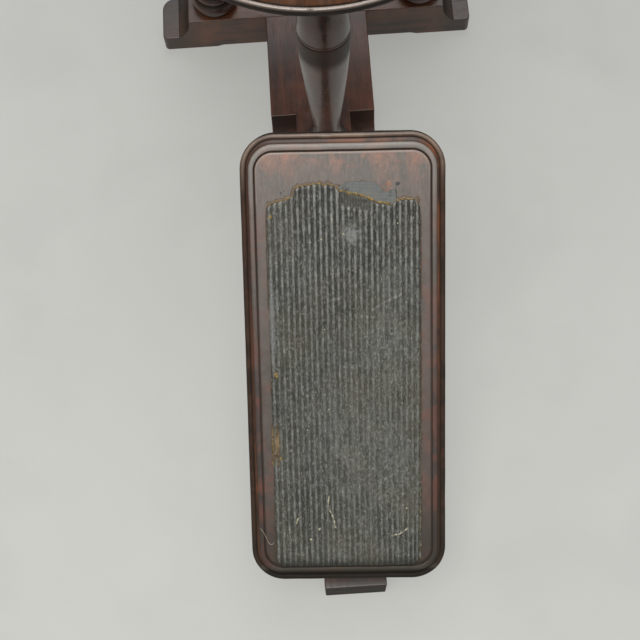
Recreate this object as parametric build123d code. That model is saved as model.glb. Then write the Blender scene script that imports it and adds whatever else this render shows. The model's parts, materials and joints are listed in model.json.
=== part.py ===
from build123d import *
import math
import os

# A shoe-fitting stool in turned mahogany: a round seat on three legs, a T-shaped base, and a sloping
# foot rest with a rubber mat, which turns on a short post.
# Millimetres. Origin on the floor under the middle of the stool. +Y runs from the foot rest's low end
# to the seat, +X is to the right of someone looking that way, +Z is up.

# --- Driving dimensions -------------------------------------------------------------------------
GLUE_LINE = 0.03            # radial room around every glued tenon, dowel and screw
RUNNING_FIT = 0.05          # radial room around the foot rest's turning spigot

BEAM_HEIGHT = 41.0          # every base timber
RELIEF = 2.0                # underside hollowed this much between the pads
PAD_LENGTH = 48.0
PAD_RAMP = 6.0
LEDGE_HEIGHT = 17.5         # low ledge beyond each cove
LEDGE_LENGTH = 14.5
COVE_RUN = 11.2
ARRIS = 0.9                 # every handled edge is eased this much
NOSE_ROUND = 4.0            # front corners of the cross beam's ends
NOSE_ROUND_BACK = 12.0

CROSS_LENGTH = 281.0
CROSS_WIDTH = 43.0
CROSS_FRONT = 197.5         # y of the cross beam's front face
RAIL_WIDTH = 47.0
RAIL_FRONT = -308.5
ARM_WIDTH = 90.0            # rail with both cheeks
CHEEK_FRONT = 71.0
TENON = (16.0, 22.0, 24.0)  # rail's tenon in the cross beam: wide, long, high
DOWEL_DIAMETER = 10.0
DOWEL_REACH = 20.0          # into each timber
CHEEK_DOWEL_REACH = 14.0
CHEEK_DOWEL_Y = (118.0, 166.0)

SUPERSTRUCTURE_X = 2.0      # seat, legs and foot rest stand this far right of the base's middle
SEAT_CENTRE = (SUPERSTRUCTURE_X, 170.0)
SEAT_RADIUS = 138.5
SEAT_TOP = 290.0
SEAT_UNDERSIDE = 264.0
SEAT_FIELD_DROP = 2.0       # field below the top of the rim bead
SEAT_SEAM_X = -7.0
SEAT_DOWEL_Y = (90.0, 170.0, 250.0)
SEAT_DOWEL_Z = 276.0
SEAT_DOWEL_LENGTH = 44.0

LEG_SPREAD = 106.0          # front leg's distance from the seat's middle
REAR_LEG_OFFSET = (91.8, 49.0)
FRONT_LEG = (SEAT_CENTRE[0], SEAT_CENTRE[1] - LEG_SPREAD)
REAR_LEFT_LEG = (SEAT_CENTRE[0] - REAR_LEG_OFFSET[0], SEAT_CENTRE[1] + REAR_LEG_OFFSET[1])
REAR_RIGHT_LEG = (SEAT_CENTRE[0] + REAR_LEG_OFFSET[0], SEAT_CENTRE[1] + REAR_LEG_OFFSET[1])
LEG_TENON_DIAMETER = 22.0
LEG_FOOT_TENON = 25.0
LEG_HEAD_TENON = 13.0

BOARD_WIDTH = 140.0
BOARD_LENGTH = 322.0
BOARD_CORNER = 24.0
BOARD_SLOPE = 31.35         # degrees above level
BOARD_SWIVEL = -2.92        # degrees about +Z, as it was left standing
BOARD_CENTRE = (SUPERSTRUCTURE_X, -167.7, 154.6)
BOARD_UNDER = -16.0         # heights along the board's normal, from its centre
BOARD_BEAD_TOP = 3.0
BOARD_RIM_TOP = 5.0
BOARD_FIELD = 3.8
OUTER_BEAD = 3.8
RIM_INSET = 5.6
FIELD_INSET = 11.2

MAT_HALF_WIDTH = 52.5
MAT_LOW_END = -149.5        # along the slope from the board's centre
MAT_LOW_CORNER = 6.0        # cut off each lower corner
BACKING_THICKNESS = 0.5
MAT_THICKNESS = 2.6
# Torn upper edge of the mat, left to right, as (across, up the slope).
TORN_EDGE = [
    (-52.5, 111.0), (-47, 114.4), (-38, 116.2), (-34, 118.2), (-32.7, 124), (-21, 126.3), (-6.7, 125.6),
    (-3, 121.5), (9, 118.3), (17, 115.6), (23, 112.6), (33, 111.4), (36, 113.9), (43, 115.2), (49, 115),
    (52.5, 109.5),
]
BACKING_TAB = [(35.5, 108), (35, 126), (22, 128.5), (4, 128), (-4, 126.5), (-4, 108)]

SADDLE_WIDTH = 62.0
SADDLE_LENGTH = 104.0
SADDLE_BOTTOM = 96.0
SADDLE_SHIFT = 2.0          # saddle's middle, up the slope from the post
SADDLE_SCREWS = [(-20, -36), (20, -36), (-20, 34), (20, 34)]
SCREW_SHANK = 4.2
SCREW_HEAD = 8.0
SCREW_HEAD_HEIGHT = 3.0
SCREW_BITE = 9.0            # into the board
COUNTERBORE_SKIN = 22.0     # saddle wood left above a deep counterbore

POST_TENON_DIAMETER = 24.0
POST_TENON_LENGTH = 20.0
WASHER_THICKNESS = 2.0
WASHER_DIAMETER = 44.0
KEEPER_RECESS_DIAMETER = 38.0
KEEPER_RECESS_TOP = 14.0
KEEPER_DIAMETER = 34.0
END_PLAY = 0.2              # axial play of the post in the rail
KEEPER_SCREW_SHANK = 6.0
KEEPER_SCREW_LENGTH = 30.0
KEEPER_HEAD_DIAMETER = 13.0
KEEPER_HEAD_HEIGHT = 4.0


# --- Helpers ------------------------------------------------------------------------------------
def rod(diameter, length, centre, axis):
    """Solid rod centred on a point, along a world axis."""
    return Plane(origin=centre, z_dir=axis) * Cylinder(diameter / 2, length)


def block(x_range, y_range, z_range):
    """Solid box between two values on each axis."""
    size = [high - low for low, high in (x_range, y_range, z_range)]
    middle = [(high + low) / 2 for low, high in (x_range, y_range, z_range)]
    return Location(middle) * Box(*size)


def eased(shape, chosen):
    """Shape with its convex edges rounded, where chosen says yes to an edge's middle."""
    edges = [edge for edge in shape.edges() if chosen(edge @ 0.5) and is_arris(shape, edge)]
    return fillet(edges, ARRIS)


def is_arris(shape, edge):
    """True for a sharp edge that stands out: the solid fills less than half the space round it."""
    middle = edge @ 0.5
    probe = Location(middle) * Sphere(ARRIS / 4)
    filled = (probe & shape).volume / probe.volume
    return filled < 0.4


def turned(outline):
    """Solid turned about +Z from a closed (radius, height) wire in the XZ plane."""
    return revolve(make_face(outline), Axis.Z)


def stepped_end(end, step, bottom=0.0):
    """Side line of a timber's coved end, from its full-height top out and down to its bottom.

    end is where the timber stops and step is +1 or -1, the way the end points.
    """
    ledge = end - step * LEDGE_LENGTH
    cove_top = ledge - step * COVE_RUN
    cove = ThreePointArc((cove_top, BEAM_HEIGHT), (cove_top + step * 2.8, 26.5), (ledge, LEDGE_HEIGHT))
    return cove_top, [cove, Polyline((ledge, LEDGE_HEIGHT), (end, LEDGE_HEIGHT), (end, bottom))]


# --- Base ---------------------------------------------------------------------------------------
def cross_beam():
    """Rear timber: both ends coved down to a ledge, a pad under each, sockets for all it carries."""
    half = CROSS_LENGTH / 2
    pad = half - PAD_LENGTH
    ramp = pad - PAD_RAMP
    cove_top, right = stepped_end(half, 1)
    _, left = stepped_end(-half, -1)
    top = Line((-cove_top, BEAM_HEIGHT), (cove_top, BEAM_HEIGHT))
    under = Polyline((half, 0), (pad, 0), (ramp, RELIEF), (-ramp, RELIEF), (-pad, 0), (-half, 0))
    side = Plane(origin=(0, CROSS_FRONT + CROSS_WIDTH, 0), x_dir=(1, 0, 0), z_dir=(0, -1, 0))
    beam = extrude(side * make_face(Curve() + [top, under] + right + left), CROSS_WIDTH)
    corners = [edge for edge in beam.edges().filter_by(Axis.Z) if abs(abs(edge.center().X) - half) < 0.1]
    front = [edge for edge in corners if edge.center().Y < CROSS_FRONT + 1]
    beam = fillet(front, NOSE_ROUND)
    corners = [edge for edge in beam.edges().filter_by(Axis.Z) if abs(abs(edge.center().X) - half) < 0.1]
    back = [edge for edge in corners if edge.center().Y > CROSS_FRONT + CROSS_WIDTH - 1]
    beam = fillet(back, NOSE_ROUND_BACK)
    beam = eased(beam, lambda at: at.Z > LEDGE_HEIGHT - 0.1)
    wide, long, high = (size + GLUE_LINE for size in TENON)
    mortise = Location((0, CROSS_FRONT + long / 2, BEAM_HEIGHT / 2)) * Box(wide, long, high)
    beam -= mortise
    for centre in (REAR_LEFT_LEG, REAR_RIGHT_LEG):
        beam -= leg_socket(centre)
    return beam - beam_dowels(GLUE_LINE)


def leg_socket(centre):
    """Round socket for a leg's foot tenon, open at the top of a timber."""
    diameter = LEG_TENON_DIAMETER + 2 * GLUE_LINE
    middle = (*centre, BEAM_HEIGHT - LEG_FOOT_TENON / 2)
    return rod(diameter, LEG_FOOT_TENON, middle, (0, 0, 1))


def beam_dowels(extra=0.0):
    """Two dowels that pin the cheeks' rear ends to the cross beam."""
    pins = []
    for side in (-1, 1):
        x = side * (ARM_WIDTH + RAIL_WIDTH) / 4
        centre = (x, CROSS_FRONT, BEAM_HEIGHT / 2)
        pins.append(rod(DOWEL_DIAMETER + 2 * extra, 2 * DOWEL_REACH, centre, (0, 1, 0)))
    return Compound(children=pins)


def cheek_dowels(extra=0.0):
    """Two dowels that run across the rail into both cheeks."""
    length = RAIL_WIDTH + 2 * CHEEK_DOWEL_REACH
    pins = []
    for y in CHEEK_DOWEL_Y:
        pins.append(rod(DOWEL_DIAMETER + 2 * extra, length, (0, y, BEAM_HEIGHT / 2), (1, 0, 0)))
    return Compound(children=pins)


def long_rail():
    """Long timber from under the foot rest's low end to the cross beam, tenoned at the back."""
    half = RAIL_WIDTH / 2
    pad = RAIL_FRONT + PAD_LENGTH
    bare = CHEEK_FRONT + LEDGE_LENGTH + COVE_RUN
    outline = Polyline(
        (RAIL_FRONT, 0), (pad, 0), (pad + PAD_RAMP, RELIEF), (bare, RELIEF),
        (bare, BEAM_HEIGHT), (RAIL_FRONT, BEAM_HEIGHT), close=True,
    )
    side = Plane(origin=(-half, 0, 0), x_dir=(0, 1, 0), z_dir=(1, 0, 0))
    rail = extrude(side * make_face(outline), RAIL_WIDTH)
    rail = eased(rail, lambda at: at.Y < bare - 1 and at.Z > RELIEF + 1)
    rail += block((-half, half), (bare, CROSS_FRONT), (RELIEF, BEAM_HEIGHT))
    wide, long, high = TENON
    rail += Location((0, CROSS_FRONT + long / 2, BEAM_HEIGHT / 2)) * Box(wide, long, high)
    spigot = POST_TENON_DIAMETER + 2 * RUNNING_FIT
    x, y, _ = BOARD_CENTRE
    rail -= rod(spigot, 2 * BEAM_HEIGHT, (x, y, BEAM_HEIGHT / 2), (0, 0, 1))
    rail -= rod(KEEPER_RECESS_DIAMETER, 2 * KEEPER_RECESS_TOP, (x, y, 0), (0, 0, 1))
    rail -= leg_socket(FRONT_LEG)
    return rail - cheek_dowels(GLUE_LINE)


def rail_cheek(side):
    """Side piece that widens the rail under the seat; side is -1 on the left and +1 on the right."""
    cove_top, front = stepped_end(CHEEK_FRONT, -1, RELIEF)
    rest = Polyline(
        (CHEEK_FRONT, RELIEF), (CROSS_FRONT, RELIEF), (CROSS_FRONT, BEAM_HEIGHT), (cove_top, BEAM_HEIGHT)
    )
    inner = side * RAIL_WIDTH / 2
    width = (ARM_WIDTH - RAIL_WIDTH) / 2
    start = min(inner, inner + side * width)
    plane = Plane(origin=(start, 0, 0), x_dir=(0, 1, 0), z_dir=(1, 0, 0))
    cheek = extrude(plane * make_face(Curve() + front + [rest]), width)
    outer = RAIL_WIDTH / 2 + 1
    cheek = eased(cheek, lambda at: abs(at.X) > outer and at.Y < CROSS_FRONT - 1 and at.Z > RELIEF + 1)
    return cheek - beam_dowels(GLUE_LINE) - cheek_dowels(GLUE_LINE)


# --- Legs and seat ------------------------------------------------------------------------------
def leg(centre):
    """Vase-shaped turned leg with a ringed foot and a round tenon at each end."""
    tenon = LEG_TENON_DIAMETER / 2
    low = BEAM_HEIGHT - LEG_FOOT_TENON
    high = SEAT_UNDERSIDE + LEG_HEAD_TENON
    foot = [
        Polyline((0, high), (0, low), (tenon, low), (tenon, BEAM_HEIGHT), (18.5, BEAM_HEIGHT)),
        ThreePointArc((18.5, BEAM_HEIGHT), (20.5, 47.0), (18.0, 53.0)),
        Line((18.0, 53.0), (15.2, 54.0)),
        ThreePointArc((15.2, 54.0), (17.2, 58.0), (15.2, 62.0)),
        Line((15.2, 62.0), (13.2, 63.0)),
        ThreePointArc((13.2, 63.0), (13.9, 65.5), (13.0, 68.0)),
    ]
    neck = Spline(
        (13.0, 68.0), (10.9, 82.0), (12.2, 97.0), (14.2, 122.0),
        (16.7, 155.0), (19.1, 190.0), (19.9, 216.0),
    )
    bowl = Spline((19.9, 216.0), (19.6, 228.0), (17.9, 240.0), (14.6, 251.0), (12.6, SEAT_UNDERSIDE))
    head = Polyline((12.6, SEAT_UNDERSIDE), (tenon, SEAT_UNDERSIDE), (tenon, high), (0, high))
    wire = Plane.XZ * (Curve() + foot + [neck, bowl, head])
    return Location((*centre, 0)) * turned(wire)


def seat():
    """Whole round seat before it is parted: beaded rim, groove, sunk field and a bevelled underside."""
    r = SEAT_RADIUS
    top = SEAT_TOP
    field = top - SEAT_FIELD_DROP
    wire = Plane.XZ * (Curve() + [
        Polyline((0, field), (0, SEAT_UNDERSIDE), (r - 30, SEAT_UNDERSIDE)),
        ThreePointArc((r - 30, SEAT_UNDERSIDE), (r - 14, SEAT_UNDERSIDE + 5), (r - 4, top - 10.4)),
        ThreePointArc((r - 4, top - 10.4), (r - 0.9, top - 7), (r - 2, top - 4.2)),
        Line((r - 2, top - 4.2), (r - 1.8, top - 3.2)),
        ThreePointArc((r - 1.8, top - 3.2), (r, top - 1.6), (r - 1.6, top)),
        ThreePointArc((r - 1.6, top), (r - 2.8, top - 0.5), (r - 3.2, top - 1.6)),
        Polyline((r - 3.2, top - 1.6), (r - 3.4, field - 1.2), (r - 4.3, field - 1.2), (r - 4.6, field)),
        Line((r - 4.6, field), (0, field)),
    ])
    whole = Location((*SEAT_CENTRE, 0)) * turned(wire)
    for centre in (FRONT_LEG, REAR_LEFT_LEG, REAR_RIGHT_LEG):
        middle = (*centre, SEAT_UNDERSIDE + LEG_HEAD_TENON / 2)
        whole -= rod(LEG_TENON_DIAMETER + 2 * GLUE_LINE, LEG_HEAD_TENON, middle, (0, 0, 1))
    return whole - seat_dowels(GLUE_LINE)


def seat_dowels(extra=0.0):
    """Dowels across the seam between the seat's two boards."""
    pins = []
    for y in SEAT_DOWEL_Y:
        centre = (SEAT_SEAM_X, y, SEAT_DOWEL_Z)
        pins.append(rod(DOWEL_DIAMETER + 2 * extra, SEAT_DOWEL_LENGTH, centre, (1, 0, 0)))
    return Compound(children=pins)


def seat_board(side):
    """Left (-1) or right (+1) board of the seat."""
    reach = 2 * SEAT_RADIUS
    x_range = sorted((SEAT_SEAM_X, SEAT_SEAM_X + side * reach))
    y_range = (SEAT_CENTRE[1] - reach, SEAT_CENTRE[1] + reach)
    return seat() & block(x_range, y_range, (0, 2 * SEAT_TOP))


# --- Foot rest, built about its own post and then turned and set in place ------------------------
SLOPE = Plane(
    origin=(0, 0, BOARD_CENTRE[2]), x_dir=(1, 0, 0),
    z_dir=(0, -math.sin(math.radians(BOARD_SLOPE)), math.cos(math.radians(BOARD_SLOPE))),
)


def set_in_place(shape):
    """Turn a foot-rest piece about its post and move it over the rail."""
    return Location((BOARD_CENTRE[0], BOARD_CENTRE[1], 0), (0, 0, BOARD_SWIVEL)) * shape


def board_layer(inset, low, high):
    """Round-cornered slab of the board, lying on the slope, between two heights."""
    outline = RectangleRounded(BOARD_WIDTH - 2 * inset, BOARD_LENGTH - 2 * inset, BOARD_CORNER - inset)
    return extrude(Location((0, 0, low)) * outline, high - low)


def foot_board():
    """Sloping board: outer bead, stepped inner bead and a sunk field for the mat."""
    slab = board_layer(0, BOARD_UNDER, BOARD_BEAD_TOP)
    slab = fillet(slab.edges().group_by(Axis.Z)[-1], OUTER_BEAD)
    slab = fillet(slab.edges().group_by(Axis.Z)[0], OUTER_BEAD)
    rim = board_layer(RIM_INSET, BOARD_BEAD_TOP - 1, BOARD_RIM_TOP)
    rim = fillet(rim.edges().group_by(Axis.Z)[-1], 1.9)
    board = slab + rim - board_layer(FIELD_INSET, BOARD_FIELD, BOARD_RIM_TOP + 1)
    return SLOPE * board - saddle_screws(GLUE_LINE)


def mat_outline(upper_edge):
    """Face of the mat below an upper edge given left to right, with its low corners cut off."""
    half, low, cut = MAT_HALF_WIDTH, MAT_LOW_END, MAT_LOW_CORNER
    corners = [(half, low + cut), (half - cut, low), (cut - half, low), (-half, low + cut)]
    return make_face(Polyline(*upper_edge, *corners, close=True))


def mat_backing():
    """Thin cloth backing glued in the field, with the tab that stayed when the rubber tore."""
    high = TORN_EDGE[-1][1] - 1
    sheet = mat_outline([(-MAT_HALF_WIDTH, high), (MAT_HALF_WIDTH, high)])
    sheet += make_face(Polyline(*BACKING_TAB, close=True))
    return SLOPE * extrude(Location((0, 0, BOARD_FIELD)) * sheet, BACKING_THICKNESS)


def rubber_mat():
    """Rubber mat over the backing, torn along its upper edge."""
    base = BOARD_FIELD + BACKING_THICKNESS
    return SLOPE * extrude(Location((0, 0, base)) * mat_outline(TORN_EDGE), MAT_THICKNESS)


def saddle_block():
    """Wedge between the level top of the post and the board's sloping underside."""
    y_range = (SADDLE_SHIFT - SADDLE_LENGTH / 2, SADDLE_SHIFT + SADDLE_LENGTH / 2)
    wedge = block((-SADDLE_WIDTH / 2, SADDLE_WIDTH / 2), y_range, (SADDLE_BOTTOM, 2 * SADDLE_BOTTOM))
    wedge = fillet(wedge.edges().filter_by(Axis.Z), 6.0)
    reach = 4 * BOARD_WIDTH
    wedge -= SLOPE * (Location((0, 0, BOARD_UNDER + BOARD_WIDTH)) * Box(reach, reach, 2 * BOARD_WIDTH))
    wedge = eased(wedge, lambda at: at.Z < SADDLE_BOTTOM + 1)
    middle = (0, 0, SADDLE_BOTTOM + POST_TENON_LENGTH / 2)
    wedge -= rod(POST_TENON_DIAMETER + 2 * GLUE_LINE, POST_TENON_LENGTH, middle, (0, 0, 1))
    for x, y in SADDLE_SCREWS:
        head = screw_head_height(y)
        middle = (x, y, (SADDLE_BOTTOM + head) / 2)
        wedge -= rod(SCREW_HEAD + 1, head - SADDLE_BOTTOM, middle, (0, 0, 1))
    return wedge - saddle_screws(GLUE_LINE)


def board_underside(y):
    """Height of the board's underside, y up the slope from the post."""
    slope = math.radians(BOARD_SLOPE)
    return BOARD_CENTRE[2] + y * math.tan(slope) + BOARD_UNDER / math.cos(slope)


def screw_head_height(y):
    """Height of a saddle screw's seat: near the bottom in thin wood, deep in its bore in thick wood."""
    return max(SADDLE_BOTTOM + SCREW_HEAD_HEIGHT, board_underside(y) - COUNTERBORE_SKIN)


def saddle_screws(extra=0.0):
    """Four upright wood screws from the saddle into the board."""
    screws = []
    for x, y in SADDLE_SCREWS:
        seat_z = screw_head_height(y)
        tip_z = board_underside(y) + SCREW_BITE
        head_middle = (x, y, seat_z - SCREW_HEAD_HEIGHT / 2)
        shank_middle = (x, y, (seat_z + tip_z) / 2)
        head = rod(SCREW_HEAD + 2 * extra, SCREW_HEAD_HEIGHT, head_middle, (0, 0, 1))
        shank = rod(SCREW_SHANK + 2 * extra, tip_z - seat_z, shank_middle, (0, 0, 1))
        screws.append(head + shank)
    return Compound(children=screws)


POST_BOTTOM = BEAM_HEIGHT + WASHER_THICKNESS + RUNNING_FIT
SPIGOT_END = KEEPER_RECESS_TOP - END_PLAY


def foot_post():
    """Short turned post: tenon in the saddle, broad foot on the washer, spigot down through the rail."""
    tenon = POST_TENON_DIAMETER / 2
    top = SADDLE_BOTTOM + POST_TENON_LENGTH
    wire = Plane.XZ * (Curve() + [
        Polyline((0, top), (0, SPIGOT_END), (tenon, SPIGOT_END), (tenon, POST_BOTTOM), (20.5, POST_BOTTOM)),
        ThreePointArc((20.5, POST_BOTTOM), (22.0, POST_BOTTOM + 4.5), (20.0, POST_BOTTOM + 9)),
        Line((20.0, POST_BOTTOM + 9), (17.0, POST_BOTTOM + 10)),
        Spline(
            (17.0, POST_BOTTOM + 10), (14.2, POST_BOTTOM + 22), (18.5, POST_BOTTOM + 40), (23.0, SADDLE_BOTTOM - 7)
        ),
        ThreePointArc((23.0, SADDLE_BOTTOM - 7), (24.5, SADDLE_BOTTOM - 3.5), (23.0, SADDLE_BOTTOM)),
        Polyline((23.0, SADDLE_BOTTOM), (tenon, SADDLE_BOTTOM), (tenon, top), (0, top)),
    ])
    return turned(wire) - keeper_screw(GLUE_LINE)


def washer(diameter, bore, low):
    """Flat iron washer, round the post's axis."""
    middle = (0, 0, low + WASHER_THICKNESS / 2)
    disc = rod(diameter, WASHER_THICKNESS, middle, (0, 0, 1))
    return disc - rod(bore, 2 * WASHER_THICKNESS, middle, (0, 0, 1))


def pivot_washer():
    """Washer on top of the rail that the post turns on."""
    return washer(WASHER_DIAMETER, POST_TENON_DIAMETER + 1, BEAM_HEIGHT)


def keeper_washer():
    """Washer under the spigot that stops the post lifting out of the rail."""
    return washer(KEEPER_DIAMETER, KEEPER_SCREW_SHANK + 2 * GLUE_LINE, SPIGOT_END - WASHER_THICKNESS)


def keeper_screw(extra=0.0):
    """Lag screw up into the spigot, with a flat head under the keeper washer."""
    head_top = SPIGOT_END - WASHER_THICKNESS
    head_middle = (0, 0, head_top - KEEPER_HEAD_HEIGHT / 2)
    head = rod(KEEPER_HEAD_DIAMETER, KEEPER_HEAD_HEIGHT, head_middle, (0, 0, 1))
    shank_middle = (0, 0, head_top + KEEPER_SCREW_LENGTH / 2)
    shank = rod(KEEPER_SCREW_SHANK + 2 * extra, KEEPER_SCREW_LENGTH, shank_middle, (0, 0, 1))
    return head + shank


# --- The whole stool ----------------------------------------------------------------------------
BASE_NODES = {
    "cross_beam": cross_beam(),
    "long_rail": long_rail(),
    "rail_cheek_left": rail_cheek(-1),
    "rail_cheek_right": rail_cheek(1),
    "beam_dowels": beam_dowels(),
    "cheek_dowels": cheek_dowels(),
    "leg_front": leg(FRONT_LEG),
    "leg_rear_left": leg(REAR_LEFT_LEG),
    "leg_rear_right": leg(REAR_RIGHT_LEG),
    "seat_board_left": seat_board(-1),
    "seat_board_right": seat_board(1),
    "seat_dowels": seat_dowels(),
}
FOOT_NODES = {
    "foot_board": foot_board(),
    "mat_backing": mat_backing(),
    "rubber_mat": rubber_mat(),
    "saddle_block": saddle_block(),
    "saddle_screws": saddle_screws(),
    "foot_post": foot_post(),
    "pivot_washer": pivot_washer(),
    "keeper_washer": keeper_washer(),
    "keeper_screw": keeper_screw(),
}

os.makedirs("parts", exist_ok=True)
for name, shape in BASE_NODES.items():
    export_step(shape, f"parts/{name}.step")
for name, shape in FOOT_NODES.items():
    export_step(set_in_place(shape), f"parts/{name}.step")
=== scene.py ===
import json
import math
import random

import bmesh
import bpy
from mathutils import Matrix, Vector, noise


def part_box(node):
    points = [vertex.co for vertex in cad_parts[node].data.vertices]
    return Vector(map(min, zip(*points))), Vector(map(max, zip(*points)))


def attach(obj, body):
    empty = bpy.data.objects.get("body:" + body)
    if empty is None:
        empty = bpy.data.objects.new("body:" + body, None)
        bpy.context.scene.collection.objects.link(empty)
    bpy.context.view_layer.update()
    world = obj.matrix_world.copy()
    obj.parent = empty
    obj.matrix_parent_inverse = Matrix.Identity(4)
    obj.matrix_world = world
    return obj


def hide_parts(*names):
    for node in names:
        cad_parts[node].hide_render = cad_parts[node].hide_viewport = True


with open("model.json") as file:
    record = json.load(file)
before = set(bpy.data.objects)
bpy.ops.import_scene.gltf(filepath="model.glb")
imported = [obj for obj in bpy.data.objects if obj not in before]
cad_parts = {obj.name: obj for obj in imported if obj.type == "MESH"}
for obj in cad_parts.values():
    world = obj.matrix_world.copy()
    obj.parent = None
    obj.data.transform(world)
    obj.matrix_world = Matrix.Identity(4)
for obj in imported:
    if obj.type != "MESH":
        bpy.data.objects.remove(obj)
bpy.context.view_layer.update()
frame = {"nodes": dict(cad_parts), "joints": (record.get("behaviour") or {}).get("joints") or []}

# A mahogany shoe-fitting stool. Places of the camera, the lights and the foot rest, and all sizes in the
# materials, are in metres. The pieces' own sizes are in millimetres, and MM turns them into metres.
MM = 0.001
FOOT_BODY = "foot_rest"
STOOL_BODY = "stool"

# The foot rest's own frame: x across, y up the slope, z out of the board, origin at its middle.
PIVOT = frame["joints"][0]["pos_m"]
BOARD_HEIGHT = 0.1546
BOARD_SLOPE = 31.35
BOARD_SWIVEL = -2.92
BOARD_PLACE = (
    Matrix.Translation((PIVOT[0], PIVOT[1], BOARD_HEIGHT))
    @ Matrix.Rotation(math.radians(BOARD_SWIVEL), 4, "Z")
    @ Matrix.Rotation(math.radians(BOARD_SLOPE), 4, "X")
)


def add_object(name, data):
    made = bpy.data.objects.new(name, data)
    bpy.context.scene.collection.objects.link(made)
    return made


# --- Camera and light ---
CAMERA_AT = (-0.0132, -0.4195, 0.9528)
CAMERA_LENS = 66.9
CAMERA_ROLL = -3.87
CAMERA_TILT = 19.68
CAMERA_TURN = 0.15


def add_camera():
    camera = add_object("camera", bpy.data.cameras.new("camera"))
    camera.data.sensor_width = 36.0
    camera.data.lens = CAMERA_LENS
    camera.matrix_world = (
        Matrix.Translation(CAMERA_AT)
        @ Matrix.Rotation(math.radians(CAMERA_TURN), 4, "Z")
        @ Matrix.Rotation(math.radians(CAMERA_TILT), 4, "X")
        @ Matrix.Rotation(math.radians(CAMERA_ROLL), 4, "Z")
    )
    bpy.context.scene.camera = camera


def add_area_light(name, at, aim, size, watts, colour):
    data = bpy.data.lights.new(name, "AREA")
    data.shape = "DISK"
    data.size = size
    data.energy = watts
    data.color = colour
    light = add_object(name, data)
    light.location = at
    light.rotation_euler = (Vector(aim) - Vector(at)).to_track_quat("-Z", "Y").to_euler()


def add_light():
    add_area_light("soft_box", (-0.22, -0.75, 2.45), (0, -0.15, 0.1), 1.5, 42, (1.0, 0.99, 0.965))
    add_area_light("overhead", (0.25, 0.55, 2.6), (0, 0.0, 0.05), 2.4, 22, (0.98, 0.99, 1.0))
    add_area_light("back_wall", (0.1, 1.75, 2.2), (0, 0.1, 0.05), 2.2, 15, (0.98, 0.99, 1.0))
    world = bpy.data.worlds.new("studio")
    world.use_nodes = True
    sky = world.node_tree.nodes["Background"]
    sky.inputs["Color"].default_value = (0.95, 0.96, 0.97, 1)
    sky.inputs["Strength"].default_value = 0.28
    bpy.context.scene.world = world
    bpy.context.scene.view_settings.view_transform = "Standard"


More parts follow.
